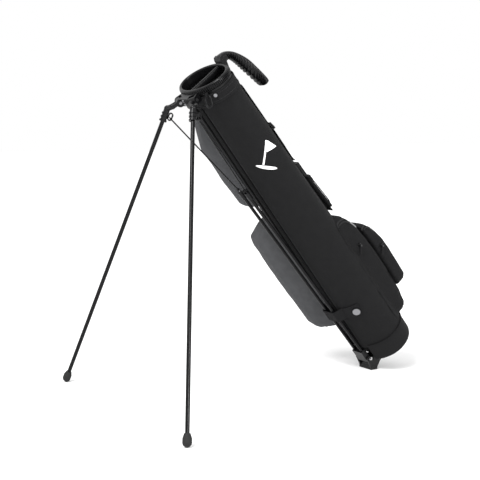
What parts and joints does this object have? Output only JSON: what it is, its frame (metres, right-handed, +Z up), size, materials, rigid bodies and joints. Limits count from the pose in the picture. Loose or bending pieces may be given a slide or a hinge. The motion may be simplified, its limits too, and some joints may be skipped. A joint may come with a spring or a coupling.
{
  "type": "golf stand bag",
  "caption": "Small black golf stand bag on folding legs, with moulded collar, hooked carry handle, shoulder strap and zipped pockets.",
  "frame": {"origin": "the middle of the standing bag's bounding box, on the ground", "axes": "+X runs from the feet of the legs to the base of the bag, +Y across the bag to the side with the grey pockets, +Z up"},
  "size_m": [0.7313, 0.542, 0.7033],
  "materials": {
    "fabric": "matte black woven nylon",
    "fabric_grey": "matte mid-grey woven nylon",
    "plastic": "satin black moulded plastic",
    "rubber": "matte black rubber",
    "tube": "gloss black painted tube",
    "steel": "bright plated steel",
    "webbing": "matte black woven webbing",
    "pull": "grey moulded plastic"
  },
  "bodies": {
    "bag": {"collar": "plastic", "divider_bar": "plastic", "divider_panel": "fabric", "near_panel": "fabric", "far_panel": "fabric", "belly_panel": "fabric", "spine_panel": "fabric", "cuff_band": "fabric", "near_stay": "plastic", "far_stay": "plastic", "base_boot": "plastic", "foot_bracket": "plastic", "foot_pin": "steel", "leg_bracket": "plastic", "bracket_screws": "steel", "leg_pins": "steel", "guide_strap": "webbing", "snap_button": "steel", "cuff_rivet": "steel", "ring_tab": "webbing", "carry_handle": "plastic", "handle_screws": "steel", "strap_anchor": "plastic", "upper_webbing": "webbing", "strap_adjuster": "plastic", "shoulder_pad": "fabric", "lower_webbing": "webbing", "ball_pocket": "fabric", "outer_pocket": "fabric", "side_pocket": "fabric_grey", "top_pocket": "fabric_grey"},
    "near_leg": {"near_knuckle": "plastic", "near_leg_tube": "tube", "near_leg_foot": "rubber"},
    "far_leg": {"far_knuckle": "plastic", "far_leg_tube": "tube", "far_leg_foot": "rubber"},
    "push_rods": {"rod_block": "plastic", "rod_block_pin": "steel", "near_push_rod": "tube", "far_push_rod": "tube", "near_ferrule": "plastic", "far_ferrule": "plastic", "wire_pins": "steel"},
    "near_wire": {"near_push_wire": "tube"},
    "far_wire": {"far_push_wire": "tube"},
    "lever": {"foot_lever": "plastic", "foot_sole": "rubber"},
    "ring": {"towel_ring": "plastic"},
    "main_slider": {"main_zip_slider": "steel"},
    "main_pull": {"main_zip_pull": "pull"},
    "outer_slider": {"outer_zip_slider": "steel"},
    "outer_pull": {"outer_zip_pull": "pull"},
    "side_slider": {"side_zip_slider": "steel"},
    "side_pull": {"side_zip_pull": "pull"}
  },
  "joints": [
    {"name": "near_leg_fold", "type": "hinge", "parent": "bag", "child": "near_leg", "pos_m": [-0.20267, -0.026, 0.60197], "axis": [0.3182, -0.9128, 0.2559], "range_deg": [0, 54.8]},
    {"name": "far_leg_fold", "type": "hinge", "parent": "bag", "child": "far_leg", "pos_m": [-0.20267, 0.026, 0.60197], "axis": [-0.3182, -0.9128, -0.2559], "range_deg": [0, 54.8]},
    {"name": "push_rod_slide", "type": "slide", "parent": "bag", "child": "push_rods", "axis": [0.6448, 0, -0.7643], "range_m": [0, 0.0213]},
    {"name": "near_wire_turn", "type": "hinge", "parent": "push_rods", "child": "near_wire", "pos_m": [-0.07167, -0.012, 0.42115], "axis": [0.3182, -0.9128, 0.2559], "range_deg": [-8.87, 0]},
    {"name": "far_wire_turn", "type": "hinge", "parent": "push_rods", "child": "far_wire", "pos_m": [-0.07167, 0.012, 0.42115], "axis": [-0.3182, -0.9128, -0.2559], "range_deg": [-8.87, 0]},
    {"name": "foot_lever_turn", "type": "hinge", "parent": "bag", "child": "lever", "pos_m": [0.29007, 0, 0.02423], "axis": [0, -1, 0], "range_deg": [0, 45.5]},
    {"name": "towel_ring_swing", "type": "hinge", "parent": "bag", "child": "ring", "pos_m": [-0.18445, -0.05096, 0.61148], "axis": [0.3983, -0.8595, 0.3202], "range_deg": [-36, 20]},
    {"name": "main_zip_slide", "type": "slide", "parent": "bag", "child": "main_slider", "axis": [-0.6266, 0, 0.7793], "range_m": [-0.15, 0]},
    {"name": "main_pull_swing", "type": "hinge", "parent": "main_slider", "child": "main_pull", "pos_m": [0.19789, -0.0608, 0.29528], "axis": [0, 1, 0], "range_deg": [-50, 50]},
    {"name": "outer_zip_slide", "type": "slide", "parent": "bag", "child": "outer_slider", "axis": [-0.6266, 0, 0.7793], "range_m": [-0.08, 0]},
    {"name": "outer_pull_swing", "type": "hinge", "parent": "outer_slider", "child": "outer_pull", "pos_m": [0.26412, -0.0558, 0.28951], "axis": [0, 1, 0], "range_deg": [-50, 50]},
    {"name": "side_zip_slide", "type": "slide", "parent": "bag", "child": "side_slider", "axis": [-0.6266, 0, 0.7793], "range_m": [-0.2, 0]},
    {"name": "side_pull_swing", "type": "hinge", "parent": "side_slider", "child": "side_pull", "pos_m": [0.09293, 0.1328, 0.29815], "axis": [0, 1, 0], "range_deg": [-50, 50]}
  ],
  "couplings": [
    {"joint": "far_leg_fold", "follows": "near_leg_fold", "ratio": 1},
    {"joint": "push_rod_slide", "follows": "near_leg_fold", "m_per_rad": 0.022268},
    {"joint": "near_wire_turn", "follows": "near_leg_fold", "ratio": -0.16184},
    {"joint": "far_wire_turn", "follows": "near_leg_fold", "ratio": -0.16184},
    {"joint": "foot_lever_turn", "follows": "near_leg_fold", "ratio": 0.83021}
  ]
}
